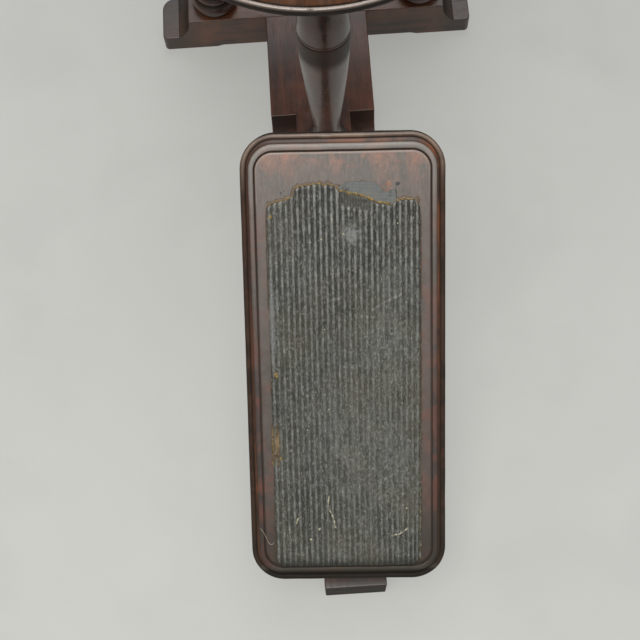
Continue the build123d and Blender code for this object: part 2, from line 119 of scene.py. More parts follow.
# --- Material helpers ---
class Paint:
    """A node material built step by step; a method returns the socket it makes, unless it says otherwise."""

    def __init__(self, name):
        self.material = bpy.data.materials.new(name)
        self.material.use_nodes = True
        self.tree = self.material.node_tree
        self.shader = self.tree.nodes["Principled BSDF"]

    def feed(self, socket, value):
        if isinstance(value, bpy.types.NodeSocket):
            self.tree.links.new(value, socket)
        else:
            socket.default_value = value

    def node(self, kind, inputs, **settings):
        """A new node itself, with its settings made and its inputs fed, by name or by number."""
        made = self.tree.nodes.new(kind)
        for key, value in settings.items():
            setattr(made, key, value)
        for key, value in inputs.items():
            self.feed(made.inputs[key], value)
        return made

    def place(self, scale=(1, 1, 1), turn=0, shift=(0, 0, 0)):
        """The place on the piece, in metres, scaled, turned about z in degrees, and shifted."""
        here = self.node("ShaderNodeTexCoord", {}).outputs["Object"]
        steps = {"Vector": here, "Scale": scale, "Rotation": (0, 0, math.radians(turn)), "Location": shift}
        return self.node("ShaderNodeMapping", steps, vector_type="POINT").outputs["Vector"]

    def axes(self, vector):
        """The x, y and z of a vector."""
        return self.node("ShaderNodeSeparateXYZ", {"Vector": vector}).outputs

    def noise(self, vector, scale, detail, rough, twist=0.0):
        look = {"Vector": vector, "Scale": scale, "Detail": detail, "Roughness": rough, "Distortion": twist}
        return self.node("ShaderNodeTexNoise", look).outputs["Fac"]

    def attribute(self, name):
        return self.node("ShaderNodeAttribute", {}, attribute_name=name).outputs["Fac"]

    def level(self, value, low, high, out_low=0.0, out_high=1.0):
        """The value carried from the range low to high to the range out_low to out_high, and held there."""
        span = {"Value": value, "From Min": low, "From Max": high, "To Min": out_low, "To Max": out_high}
        return self.node("ShaderNodeMapRange", span, clamp=True).outputs["Result"]

    def join(self, operation, first, *others):
        """Values joined one after another by an operation."""
        for other in others:
            first = self.node("ShaderNodeMath", {0: first, 1: other}, operation=operation).outputs[0]
        return first

    def times(self, *values):
        return self.join("MULTIPLY", *values)

    def ramp(self, value, stops):
        made = self.node("ShaderNodeValToRGB", {"Fac": value})
        marks = made.color_ramp.elements
        while len(marks) < len(stops):
            marks.new(0.5)
        for mark, (position, colour) in zip(marks, stops):
            mark.position = position
            mark.color = (*colour, 1)
        return made.outputs["Color"]

    def blend(self, amount, a, b):
        made = self.node("ShaderNodeMix", {}, data_type="RGBA", blend_type="MIX")
        self.feed(made.inputs["Factor"], amount)
        colours = [socket for socket in made.inputs if socket.type == "RGBA"]
        for socket, value in zip(colours, (a, b)):
            self.feed(socket, (*value, 1) if isinstance(value, tuple) else value)
        return next(socket for socket in made.outputs if socket.type == "RGBA")

    def between(self, value, low, high, a, b):
        """Colour a where the value is low, b where it is high, and a mixture between."""
        return self.blend(self.level(value, low, high), a, b)

    def layers(self, colour, *layers):
        """A colour with (amount, colour) layers laid over it in turn."""
        for amount, over in layers:
            colour = self.blend(amount, colour, over)
        return colour

    def edges(self, radius):
        """1 on sharp convex and concave edges, 0 on flat ground."""
        soft = self.node("ShaderNodeBevel", {"Radius": radius}, samples=6).outputs["Normal"]
        hard = self.node("ShaderNodeNewGeometry", {}).outputs["Normal"]
        alike = self.node("ShaderNodeVectorMath", {0: soft, 1: hard}, operation="DOT_PRODUCT")
        return self.level(alike.outputs["Value"], 0.995, 0.8)

    def end_grain(self, along):
        """1 on faces that are square to the grain."""
        facing = self.axes(self.node("ShaderNodeNewGeometry", {}).outputs["True Normal"])[along]
        return self.level(self.join("ABSOLUTE", facing, 0.0), 0.6, 0.9)

    def spot(self, x, y, half_x, half_y, ragged=0.35):
        """1 inside an uneven oval round a place on the piece, in metres, and 0 outside it."""
        near = self.place((1 / half_x, 1 / half_y, 0), shift=(-x / half_x, -y / half_y, 0))
        reach = self.node("ShaderNodeVectorMath", {0: near}, operation="LENGTH").outputs["Value"]
        uneven = self.level(self.noise(self.place(), 420.0, 5.0, 0.7), 0.3, 0.7, -ragged, ragged)
        return self.level(self.join("ADD", reach, uneven), 1.2, 0.7)

    def bump(self, height, depth, strength, under=None):
        """The normal of a relief, on top of the relief under it if there is one."""
        relief = {"Height": height, "Distance": depth, "Strength": strength}
        if under is not None:
            relief["Normal"] = under
        return self.node("ShaderNodeBump", relief).outputs["Normal"]

    def finish(self, colour, roughness, normal, **others):
        """Feed the shader, others being more of its inputs by name, and return the material."""
        inputs = {"Base Color": colour, "Roughness": roughness, "Normal": normal}
        inputs |= {name.replace("_", " "): value for name, value in others.items()}
        for name, value in inputs.items():
            self.feed(self.shader.inputs[name], value)
        return self.material


# --- Materials ---
def mahogany(name, along, dark, red, gloss=0.34, wear=0.3, shift=0.0, coat=0.45, shine=0.5, soot=None):
    """Old polished mahogany with its grain along "X", "Y" or "Z".

    wear is how far the arrises are rubbed back, and shift moves the figure so that no two pieces match.
    A mesh attribute for grime and painted shade, where the piece has one, blackens and dulls its cuts,
    hollows and shaded undersides, and one named "bead" paints a highlight on a moulding's bead. soot is an
    axis, how far out along it in metres the ends start to be sooty and are fully so, and the colour of the
    soot.
    """
    paint = Paint(name)
    stretch = [9.0 if axis == along else 150.0 for axis in "XYZ"]
    drift = (shift, shift * 0.7, shift * 1.3)
    grain_space = paint.place(stretch, shift=drift)
    figure = paint.noise(grain_space, 1.0, 5.0, 0.6, 0.35)
    fine = paint.noise(grain_space, 4.5, 3.0, 0.65)
    pores = paint.noise(paint.place([c * 7 for c in stretch], shift=drift), 1.0, 2.0, 0.5)
    cloud = paint.noise(paint.place(shift=drift), 22.0, 5.0, 0.6)
    grime = paint.noise(paint.place(shift=drift), 95.0, 6.0, 0.7)

    middling = tuple((d + r) / 2 for d, r in zip(dark, red))
    dirt_and_shade = paint.attribute("dirt_and_shade")
    pits = paint.level(pores, 0.62, 0.74)
    end = paint.end_grain(along)
    colour = paint.layers(
        paint.ramp(figure, [(0.30, dark), (0.52, middling), (0.74, red)]),
        (paint.level(fine, 0.35, 0.7, 0.0, 0.4), dark),
        (paint.level(cloud, 0.45, 0.72, 0.0, 0.7), tuple(1.5 * c for c in red)),
        (paint.level(cloud, 0.44, 0.26, 0.0, 0.6), (0.014, 0.012, 0.011)),
        (paint.level(grime, 0.5, 0.75, 0.0, 0.22), (0.13, 0.11, 0.10)),
        (paint.times(paint.edges(0.0018), paint.level(cloud, 0.35, 0.62, 0.0, wear)), (0.13, 0.062, 0.036)),
        # Painted highlight on the seat's bead.
        (paint.times(paint.attribute("bead"), 0.85), (0.27, 0.215, 0.180)),
    )
    if soot is not None:
        axis, start, full, black = soot
        out = paint.axes(paint.place())[axis]
        sooty = paint.level(paint.times(out, out), start ** 2, full ** 2, 0.0, 0.7)
        colour = paint.blend(sooty, colour, black)
    colour = paint.layers(
        colour,
        # Grime and painted shade: cuts, hollows and shaded undersides darkened.
        (paint.times(dirt_and_shade, 0.85), (0.012, 0.009, 0.007)),
        (paint.times(pits, 0.4), (0.008, 0.005, 0.004)),
        (paint.times(end, 0.7), (0.022, 0.020, 0.017)),
    )

    dull = paint.join("MAXIMUM", dirt_and_shade, end)
    rough = paint.level(grime, 0.3, 0.75, gloss - 0.07, gloss + 0.12)
    rough = paint.join("ADD", rough, paint.times(dull, 0.3), paint.times(pits, 0.15))
    normal = paint.bump(paint.join("SUBTRACT", figure, pits), 0.0002, 0.5)
    normal = paint.bump(grime, 0.0004, 0.16, normal)
    return paint.finish(colour, rough, normal, Coat_Roughness=0.24,
                        Coat_Weight=paint.level(dull, 0, 0.8, coat, 0.0),
                        Specular_IOR_Level=paint.level(dull, 0, 1, shine, 0.3 * shine))


# (x, y, half width, half height) of marks in the foot board's face, in metres, and how ragged the scar is.
BOARD_SCAR = (0.0309, 0.1252, 0.0028, 0.0042, 1.3)
BOARD_HOLES = [(-0.0423, 0.1209, 0.0007, 0.0008), (-0.0402, 0.1222, 0.0005, 0.0005),
               (0.0373, 0.1258, 0.0018, 0.0014), (0.0360, 0.1190, 0.0007, 0.0060)]


def board_wood():
    """Foot board: mahogany with its grain up the slope, scuffed pale and pink above the mat."""
    paint = Paint("board_mahogany")
    grain_space = paint.place((150, 9, 150))
    figure = paint.noise(grain_space, 1.0, 5.0, 0.6, 0.35)
    fine = paint.noise(grain_space, 5.0, 3.0, 0.6)
    fibres = paint.noise(paint.place((620, 120, 620)), 1.0, 4.0, 0.7)
    cloud = paint.noise(paint.place(), 30.0, 5.0, 0.62, 0.6)
    blush = paint.noise(paint.place((1, 0.8, 1), shift=(0.31, 0.12, 0)), 52.0, 6.0, 0.68, 0.8)
    grime = paint.noise(paint.place(), 150.0, 6.0, 0.72)

    deep, brown, red = (0.016, 0.011, 0.009), (0.036, 0.021, 0.015), (0.100, 0.029, 0.015)
    bare_wood = paint.layers(
        paint.ramp(figure, [(0.3, deep), (0.5, brown), (0.75, red)]),
        (paint.level(fine, 0.4, 0.7, 0.0, 0.35), deep),
        (paint.level(cloud, 0.50, 0.68, 0.0, 0.8), red),
    )

    # The face: dusty, with a painted grey sheen growing towards the top, flushed red beside the mat, and
    # rubbed to pale and pink patches above it.
    x, y, z = paint.axes(paint.place())
    # Dusty, with a painted grey sheen that grows towards the top.
    dust_and_sheen = paint.times(paint.level(grime, 0.25, 0.7, 0.5, 0.95), paint.level(y, -0.15, 0.13, 0.60, 1.0))
    flushed = paint.times(paint.level(blush, 0.50, 0.62, 0.0, 0.5), paint.level(y, 0.120, 0.090))
    greyed = paint.layers(bare_wood, (dust_and_sheen, (0.122, 0.108, 0.095)), (flushed, (0.160, 0.072, 0.052)))
    patches = paint.times(paint.level(blush, 0.46, 0.60), paint.level(grime, 0.35, 0.62, 0.35, 1.0),
                          paint.level(y, 0.124, 0.146, 0.15, 1.0))
    pale = paint.layers(
        greyed,
        (patches, (0.280, 0.132, 0.086)),
        (paint.level(fibres, 0.52, 0.72, 0.0, 0.4), (0.22, 0.185, 0.165)),
        (paint.level(fibres, 0.46, 0.3, 0.0, 0.45), (0.052, 0.043, 0.040)),
    )
    face = paint.between(y, 0.090, 0.120, greyed, pale)
    scar = paint.between(grime, 0.4, 0.6, (0.13, 0.062, 0.036), (0.29, 0.150, 0.085))
    colour = paint.layers(
        paint.between(z, 0.0028, 0.0037, bare_wood, face),
        (paint.spot(*BOARD_SCAR), scar),
        *((paint.spot(*hole), (0.010, 0.008, 0.007)) for hole in BOARD_HOLES),
    )

    # The moulding: painted shade down its sides, in its cove, on the lower band and on its underside rim, a
    # painted sheen and highlight across the top, and red patches in its cove.
    groove, rim, bead, cove, band, lip = (
        paint.attribute(name) for name in ("groove", "rim", "bead", "cove", "band", "lip"))
    # Bead colours: painted shade for the sides, painted sheen across the top.
    sides = paint.between(blush, 0.42, 0.56, (0.020, 0.015, 0.011), (0.050, 0.028, 0.018))
    ends = paint.between(cloud, 0.35, 0.62, (0.10, 0.066, 0.048), (0.22, 0.150, 0.106))
    corner = paint.level(paint.times(x, y), -0.004, 0.004, 0.15, 1.0)
    rusty = paint.times(paint.level(cloud, 0.40, 0.56), corner)
    colour = paint.layers(
        colour,
        # Bead: painted shade down the sides, painted sheen across the top.
        (paint.times(bead, 0.85), paint.between(y, 0.120, 0.152, sides, ends)),
        # Cove: painted shade, with red patches of the wood.
        (paint.times(cove, 0.9), paint.blend(rusty, (0.046, 0.026, 0.018), (0.175, 0.064, 0.027))),
        # Painted shade down the band's lower half.
        (paint.times(band, paint.level(y, 0.100, -0.030, 0.0, 0.85)),
         paint.between(blush, 0.45, 0.60, (0.042, 0.032, 0.027), (0.115, 0.044, 0.030))),
        # Painted grey sheen on the band near the top.
        (paint.times(band, paint.level(y, 0.105, 0.145, 0.0, 0.65)), (0.195, 0.172, 0.152)),
        # Painted highlight on the field's lip near the top.
        (paint.times(lip, paint.level(y, 0.105, 0.145, 0.0, 0.85)), (0.255, 0.190, 0.155)),
        (paint.times(groove, 0.85),
         paint.between(y, 0.02, 0.11, (0.056, 0.042, 0.033), (0.026, 0.017, 0.013))),
        # Painted shade on the underside rim.
        (paint.times(rim, 0.9), (0.010, 0.009, 0.008)),
    )

    # The low end, darker towards the bottom edge.
    low_end_darkening = paint.times(paint.level(y, -0.09, -0.15), paint.level(grime, 0.3, 0.6, 0.4, 0.8))
    foot_darkening = paint.level(y, -0.1485, -0.152, 0.0, 0.9)
    foot_colour = paint.between(y, -0.1515, -0.1540, (0.060, 0.052, 0.040), (0.016, 0.012, 0.009))
    colour = paint.layers(colour, (low_end_darkening, (0.026, 0.021, 0.015)), (foot_darkening, foot_colour))
    rough = paint.level(grime, 0.3, 0.75, 0.32, 0.48)
    side_bead = paint.times(bead, paint.level(y, 0.150, 0.120, 0.0, 0.95))
    dull = paint.join("MAXIMUM", groove, rim, foot_darkening, side_bead)
    rough = paint.join("ADD", rough, paint.times(dull, 0.3))
    normal = paint.bump(figure, 0.0002, 0.5)
    normal = paint.bump(fibres, 0.0002, 0.35, normal)
    normal = paint.bump(grime, 0.0004, 0.25, normal)
    return paint.finish(colour, rough, normal, Specular_IOR_Level=paint.level(dull, 0, 1, 0.5, 0.15))


def mat_rubber():
    """Ribbed rubber, perished grey-green, its crests dusty and given a painted highlight, its grooves black
    with grime and painted shade.
    """
    paint = Paint("ribbed_rubber")
    crest = paint.attribute("crest")
    bare = paint.attribute("bare")
    worn = paint.attribute("worn")
    mottle = paint.noise(paint.place(), 150.0, 6.0, 0.72)
    streak = paint.noise(paint.place((1, 0.25, 1), shift=(0.1, 0.3, 0)), 300.0, 5.0, 0.7)
    grit = paint.noise(paint.place((1, 0.45, 1)), 980.0, 4.0, 0.7)
    pocks = paint.noise(paint.place((1, 0.7, 1), shift=(0.2, 0.4, 0)), 640.0, 6.0, 0.75)
    cloud = paint.noise(paint.place(), 26.0, 5.0, 0.65)

    y = paint.axes(paint.place())["Y"]
    # Grooves carry grime and painted shade, crests dusty colour and a painted highlight, both stronger
    # toward the top.
    crisp = paint.level(y, 0.02, 0.10, 0.0, 0.85)
    low = paint.between(cloud, 0.35, 0.7, (0.034, 0.035, 0.029), (0.056, 0.053, 0.034))
    low = paint.blend(crisp, low, (0.020, 0.020, 0.015))
    high = paint.between(mottle, 0.35, 0.65, (0.085, 0.087, 0.078), (0.205, 0.207, 0.190))
    bright = paint.between(mottle, 0.35, 0.65, (0.125, 0.127, 0.120), (0.290, 0.292, 0.278))
    high = paint.blend(crisp, high, bright)
    rubbed = paint.between(streak, 0.38, 0.62, (0.052, 0.053, 0.045), (0.150, 0.152, 0.138))
    gold = paint.between(mottle, 0.38, 0.62, (0.080, 0.052, 0.026), (0.24, 0.165, 0.085))
    cells = {"Vector": paint.place(shift=(0.3, 0.1, 0)), "Scale": 240.0}
    specks = paint.node("ShaderNodeTexVoronoi", cells, feature="F1").outputs["Distance"]
    colour = paint.layers(
        paint.between(crest, 0.32, 0.92, low, high),
        (paint.level(worn, 0.2, 0.9, 0.0, 0.62), rubbed),
        (paint.level(cloud, 0.50, 0.70, 0.0, 0.35), (0.095, 0.086, 0.056)),
        (paint.level(grit, 0.54, 0.68, 0.0, 0.65), (0.31, 0.31, 0.27)),
        (paint.level(grit, 0.45, 0.32, 0.0, 0.75), (0.010, 0.010, 0.008)),
        (paint.level(pocks, 0.43, 0.32, 0.0, 0.75), (0.016, 0.016, 0.013)),
        # Pale nicks and scratches, and a painted highlight on the torn rib ends.
        (paint.attribute("nicks_and_highlights"), (0.33, 0.325, 0.29)),
        (paint.times(bare, 0.5), (0.026, 0.021, 0.014)),
        (paint.level(y, -0.1425, -0.1475, 0.0, 0.75), (0.022, 0.021, 0.017)),
        (paint.times(paint.spot(-0.0503, 0.0350, 0.0018, 0.0340, 0.5), 0.45), (0.215, 0.222, 0.218)),
        (paint.times(paint.spot(0.0048, 0.0925, 0.0050, 0.0040, 0.9), 0.55), (0.225, 0.228, 0.222)),
        (paint.spot(-0.0497, -0.0575, 0.0022, 0.0125, 0.9), gold),
        (paint.level(specks, 0.075, 0.035, 0.0, 0.7), (0.46, 0.45, 0.36)),
    )

    rough = paint.level(mottle, 0.3, 0.7, 0.38, 0.66)
    normal = paint.bump(grit, 0.0005, 0.7)
    normal = paint.bump(pocks, 0.0010, 0.5, normal)
    return paint.finish(colour, rough, normal)


def backing_cloth():
    """Grey-green canvas backing, with its weave and soaked-in glue."""
    paint = Paint("backing_canvas")
    weave = []
    for turn in (0, 90):
        look = {"Vector": paint.place(turn=turn), "Scale": 330.0, "Distortion": 1.2}
        thread = paint.node("ShaderNodeTexWave", look, wave_type="BANDS", bands_direction="X")
        weave.append(thread.outputs["Fac"])
    threads = paint.join("MAXIMUM", *weave)
    stain = paint.noise(paint.place(), 120.0, 6.0, 0.7)
    colour = paint.layers(
        paint.blend(threads, (0.070, 0.075, 0.074), (0.165, 0.172, 0.166)),
        (paint.level(stain, 0.52, 0.72, 0.0, 0.5), (0.22, 0.19, 0.13)),
        (paint.level(stain, 0.46, 0.34, 0.0, 0.7), (0.030, 0.030, 0.028)),
    )
    normal = paint.bump(threads, 0.00025, 0.8)
    normal = paint.bump(stain, 0.0006, 0.5, normal)
    return paint.finish(colour, paint.level(stain, 0.3, 0.7, 0.6, 0.85), normal)


def plain(name, fine, stops, rough, relief, scale=(1, 1, 1), **others):
    """A material with one noise in its colour and relief, and in its roughness if that is a pair."""
    paint = Paint(name)
    crumb = paint.noise(paint.place(scale), *fine)
    if isinstance(rough, tuple):
        rough = paint.level(crumb, 0.3, 0.7, *rough)
    return paint.finish(paint.ramp(crumb, stops), rough, paint.bump(crumb, *relief), **others)


def old_glue(name, dark, middling, bright):
    """Brittle old glue, dirty in its hollows."""
    stops = [(0.32, dark), (0.5, middling), (0.66, bright)]
    return plain(name, (420.0, 6.0, 0.7), stops, (0.35, 0.6), (0.0008, 0.8))


def glue_stain():
    """Thin skin of old glue soaked into the wood, browner at its outline."""
    paint = Paint("glue_stain")
    crumb = paint.noise(paint.place(), 330.0, 6.0, 0.7)
    stops = [(0.3, (0.052, 0.036, 0.020)), (0.52, (0.125, 0.080, 0.042)), (0.7, (0.24, 0.155, 0.078))]
    colour = paint.ramp(crumb, stops)
    colour = paint.blend(paint.times(paint.attribute("outline"), 0.85), colour, (0.030, 0.018, 0.011))
    return paint.finish(colour, paint.level(crumb, 0.3, 0.7, 0.4, 0.65), paint.bump(crumb, 0.0006, 0.7))


def pale_flake():
    """Chips of cream paint and dried filler."""
    stops = [(0.35, (0.24, 0.21, 0.11)), (0.62, (0.56, 0.53, 0.40))]
    return plain("pale_flake", (700.0, 4.0, 0.6), stops, 0.55, (0.0004, 0.6))


def dark_iron():
    stops = [(0.35, (0.055, 0.050, 0.047)), (0.58, (0.12, 0.11, 0.10)), (0.75, (0.16, 0.075, 0.04))]
    return plain("dark_iron", (190.0, 6.0, 0.65), stops, (0.38, 0.68), (0.0004, 0.4), Metallic=0.85)


def bare_dowel():
    stops = [(0.3, (0.30, 0.19, 0.10)), (0.7, (0.50, 0.35, 0.20))]
    return plain("bare_dowel", (1.0, 4.0, 0.6), stops, (0.5, 0.7), (0.0002, 0.4), scale=(60, 60, 700))


def pale_fibre():
    stops = [(0.3, (0.34, 0.26, 0.17)), (0.7, (0.62, 0.54, 0.40))]
    return plain("pale_fibre", (900.0, 3.0, 0.6), stops, 0.7, (0.0002, 0.5))


def floor_paper():
    """Pale, faintly stained paper that glows, a painted light keeping its shadows faint; its colour and glow
    fade further away, a painted falloff of the light.
    """
    paint = Paint("floor_paper")
    wash = paint.noise(paint.place(), 5.0, 4.0, 0.55)
    scuff = paint.noise(paint.place(), 45.0, 5.0, 0.65)
    away = paint.axes(paint.place(turn=25))["Y"]
    colour = paint.layers(
        paint.between(wash, 0.35, 0.65, (0.180, 0.182, 0.170), (0.204, 0.205, 0.194)),
        # Painted falloff of the light: darker further away.
        (paint.level(away, -0.3, 0.4, 0.0, 0.45), (0.12, 0.12, 0.115)),
        (paint.level(scuff, 0.60, 0.80, 0.0, 0.4), (0.15, 0.148, 0.125)),
    )
    stain = paint.level(paint.noise(paint.place(), 9.0, 3.0, 0.5), 0.50, 0.70, 1.0, 0.93)
    # The glow is painted light that keeps shadows faint, fading further away.
    glow = paint.times(paint.level(away, -0.3, 0.4, 0.366, 0.303), stain)
    return paint.finish(colour, 0.8, paint.bump(scuff, 0.0005, 0.15),
                        Emission_Color=(0.98, 0.985, 0.930, 1), Emission_Strength=glow)


# --- Mesh helpers ---
def wobble(x, y, z):
    """Smooth noise at a place, about -1 to 1."""
    return noise.noise(Vector((x, y, z)))


def unit(value):
    """The value held between 0 and 1."""
    return min(1.0, max(0.0, value))


def every(step, start, stop):
    """Values from start, a step apart, as long as they are under stop."""
    values = []
    while start < stop:
        values.append(start)
        start += step
    return values


def new_piece(name, verts, faces, material, body, slot, place=None, smooth=True, marks=None):
    """Object from plain vertices and faces; it rides on a body and is placed by a matrix.

    marks gives mesh attributes by name, with a value for each vertex.
    """
    mesh = bpy.data.meshes.new(name)
    mesh.from_pydata([tuple(v) for v in verts], [], faces)
    mesh.validate()
    work = bmesh.new()
    work.from_mesh(mesh)
    bmesh.ops.recalc_face_normals(work, faces=work.faces)
    work.to_mesh(mesh)
    work.free()
    if smooth:
        mesh.polygons.foreach_set("use_smooth", [True] * len(mesh.polygons))
    mesh.materials.append(material)
    piece = add_object(name, mesh)
    if place is not None:
        piece.matrix_world = place
    bpy.context.view_layer.update()
    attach(piece, body)
    for mark, values in (marks or {}).items():
        layer = mesh.attributes.new(mark, "FLOAT", "POINT")
        layer.data.foreach_set("value", values)
    return piece


def arc(centre, radius, start, end, steps):
    """Points on an arc, angles in degrees, both ends included."""
    angles = [math.radians(start + (end - start) * i / steps) for i in range(steps + 1)]
    return [(centre[0] + radius * math.cos(a), centre[1] + radius * math.sin(a)) for a in angles]


def marked(run, mark):
    """The pairs of a run, each with the same mark as its third item."""
    return [(a, b, mark) for a, b in run]


def curve_through(points, steps):
    """Smooth run through the points (Catmull-Rom), both ends included."""
    run = []
    padded = [points[0], *points, points[-1]]
    for before, a, b, after in zip(padded, padded[1:], padded[2:], padded[3:]):
        for i in range(steps):
            t = i / steps
            run.append(tuple(
                0.5 * (2 * q + (r - p) * t + (2 * p - 5 * q + 4 * r - s) * t ** 2
                       + (3 * q - p - 3 * r + s) * t ** 3)
                for p, q, r, s in zip(before, a, b, after)
            ))
    return [*run, points[-1]]


def rounded_ring(half_x, half_y, radius, height):
    """One closed ring of a round-cornered rectangle; every ring has the same number of points."""
    ring = []
    quarters = []
    for sx, sy, start in ((1, 1, 0), (-1, 1, 90), (-1, -1, 180), (1, -1, 270)):
        centre = (sx * (half_x - radius), sy * (half_y - radius))
        quarters.append(arc(centre, radius, start, start + 90, CORNER_STEPS))
    for index, quarter in enumerate(quarters):
        ahead = quarters[(index + 1) % 4][0]
        steps = SIDE_STEPS[index % 2]
        ring += quarter
        ring += [tuple(a + (b - a) * i / steps for a, b in zip(quarter[-1], ahead)) for i in range(1, steps)]
    return [(x, y, height) for x, y in ring]


def middle_of(low, high):
    """The x and y of a box's middle."""
    return (low[0] + high[0]) / 2, (low[1] + high[1]) / 2


def circle(segments):
    """The cosine and sine of each of a circle's equal steps."""
    angles = [2 * math.pi * i / segments for i in range(segments)]
    return [(math.cos(angle), math.sin(angle)) for angle in angles]


def loft(rings):
    """Vertices and faces of a closed skin over rings with equal counts, low ring first."""
    count = len(rings[0])
    verts = [v for ring in rings for v in ring]
    faces = []
    for level in range(len(rings) - 1):
        for i in range(count):
            j = (i + 1) % count
            base = level * count
            faces.append((base + i, base + j, base + count + j, base + count + i))
    faces.append(tuple(range(count))[::-1])
    faces.append(tuple((len(rings) - 1) * count + i for i in range(count)))
    return verts, faces


# --- Foot board ---
BOARD_HALF_X = 70.0 * MM
BOARD_HALF_Y = 161.0 * MM
BOARD_CORNER = 24.0 * MM
BOARD_FIELD = 3.8 * MM
CORNER_STEPS = 14
SIDE_STEPS = (16, 36)
LOWER_ROUND = (3.8, -12.2)   # centres of the arcs of the board's edge, as inset and height
BEAD = (2.3, 0.4)
COVE = (4.2, 4.7)
SIDE_SHARE = 0.89   # the moulding is narrower down the sides
TOP_OUTER = -0.15   # across the top the bead is narrower still, as a share of the inset
TOP_INNER = 0.09    # and the band wider


def board_section():
    """(inset, height, mark) down the moulded edge, in millimetres, from the underside to the field."""
    run = marked(arc(LOWER_ROUND, 3.8, 270, 180, 6) + arc(BEAD, 2.3, 180, 150, 3), "rim")
    run += marked(arc(BEAD, 2.3, 135, 40, 6), "bead")
    run += [(4.05, 1.3, "cove"), (4.2, 1.15, "groove"), (4.4, 1.2, "groove")]
    run += marked(arc(COVE, 2.4, -70, -8, 6), "cove")
    run += marked([(6.75, 4.85), (7.3, 5.08), (8.4, 5.15), (9.8, 5.10), (10.2, 5.0), (10.4, 4.75)], "band")
    run += marked([(10.5, 4.1), (10.7, 3.3), (11.3, 3.2), (11.6, 3.5)], "groove")
    return [*run, (11.8, 3.72, "lip"), (12.4, 3.8, "lip"), (13.4, 3.8, "")]


def add_foot_board():
    rings = []
    marks = {"rim": [], "groove": [], "cove": [], "bead": [], "band": [], "lip": []}
    for inset, height, mark in board_section():
        inset_m = inset * MM
        half_x = BOARD_HALF_X - SIDE_SHARE * inset_m
        inner = unit((inset - 4.5) / 2.5)
        top_shift = inset_m * ((1 - inner) * TOP_OUTER + inner * TOP_INNER)
        ring = []
        for x, y, z in rounded_ring(half_x, BOARD_HALF_Y - inset_m, BOARD_CORNER - inset_m, height * MM):
            y -= top_shift * max(0.0, y / BOARD_HALF_Y)
            dent = wobble(x * 55, y * 55, z * 90)
            knock = max(0.0, wobble(x * 140 + 9, y * 140, 4) - 0.45) * (mark == "bead")
            out = 1 + (dent * 0.12 * MM - knock * 1.1 * MM) / BOARD_HALF_X
            ring.append((x * out, y * out, z + dent * 0.08 * MM))
        rings.append(ring)
        for name, values in marks.items():
            values += [float(name == mark)] * len(ring)
    verts, faces = loft(rings)
    piece = new_piece("foot_board_moulded", verts, faces, board_wood(), FOOT_BODY, "wood", BOARD_PLACE,
                      marks=marks)
    for polygon in piece.data.polygons:
        if len(polygon.vertices) > 4:
            polygon.use_smooth = False
    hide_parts("foot_board")


# --- Rubber mat ---
MAT_HALF_X = 52.3
MAT_LOW = -149.2
MAT_CORNER = 5.0
RIBS = 27
STEPS_PER_RIB = 10
MAT_ROW = 1.0       # rows of vertices are this far apart
RIB_PITCH = 2 * MAT_HALF_X / RIBS
MAT_BASE = 4.3
RIB_FOOT = 1.05
RIB_HEIGHT = 1.35
WORN_AWAY = 0.62    # how much of a rib's height full wear takes
PLY = 0.35          # thickness of the inner ply where ribs have peeled off
TORN_LIP = 0.3      # how far broken rubber stands up
BOWED = 1.1         # how far the ribs bow to the right at the low end
PULLED_IN = 1.5     # how far the low right corner is pulled in
NICK_REACH = 1.1
TORN_EDGE = [
    (-52.5, 111.0), (-47, 114.4), (-38, 116.2), (-34, 118.2), (-32.7, 124), (-21, 126.3), (-6.7, 125.6),
    (-3, 121.5), (9, 118.3), (17, 115.6), (23, 112.6), (33, 111.4), (36, 113.9), (43, 115.2), (49, 115),
    (52.5, 109.5),
]
PEELED = [(-2.0, 112.0), (4.0, 110.5), (10.0, 109.0), (20.0, 107.5)]
SCRATCHES = [((18.9, 39.3), (27.0, 44.0)), ((27.0, 44.0), (38.8, 49.9)), ((11.2, 34.9), (20.9, 34.0)),
             ((-10.1, 46.5), (-3.8, 47.8)), ((25.0, -84.0), (33.0, -80.0)), ((-30.0, -20.0), (-24.0, -23.0))]
SMOOTH_SPOTS = [((4.2, 93.5), 7.5, 1.0), ((6, -62), 26, 0.55), ((30, -82), 20, 0.6), ((22, 20), 22, 0.35),
                ((36, 60), 14, 0.3), ((-20, -40), 16, 0.3)]


def height_on(line, x):
    """The y of a left-to-right line at x."""
    for (x0, y0), (x1, y1) in zip(line, line[1:]):
        if x <= x1:
            return y0 + (y1 - y0) * max(0.0, (x - x0) / (x1 - x0))
    return line[-1][1]


def torn_top(x):
    """Upper edge of the rubber at x: the tear, with the small steps it takes at each rib."""
    ragged = 0.9 * wobble(x * 0.35, 3.1, 0) + 0.45 * wobble(x * 1.4, 7.7, 0)
    return height_on(TORN_EDGE, x) + ragged


def mat_bottom(x):
    """Lower edge of the rubber at x, with its clipped corners."""
    cut = max(0.0, abs(x) - (MAT_HALF_X - MAT_CORNER))
    return MAT_LOW + cut + 0.35 * wobble(x * 0.3, 11.0, 2)


def peeled(x, y):
    """1 where the ribs have peeled off under the tear, leaving the thin inner ply."""
    if not PEELED[0][0] < x < PEELED[-1][0]:
        return 0.0
    edge = height_on(PEELED, x) + 1.6 * wobble(x * 0.9, 5, 5)
    ends = min(1.0, (x - PEELED[0][0]) / 1.5, (PEELED[-1][0] - x) / 3)
    return ends * unit((y - edge) / 1.2)


def scratched(x, y):
    """1 on the pale nicks where something was dragged over the ribs."""
    best = 0.0
    for (x0, y0), (x1, y1) in SCRATCHES:
        run = Vector((x1 - x0, y1 - y0))
        share = unit(Vector((x - x0, y - y0)).dot(run) / run.length_squared)
        gap = math.hypot(x - x0 - share * run.x, y - y0 - share * run.y)
        best = max(best, 1 - gap / NICK_REACH)
    return max(0.0, best)


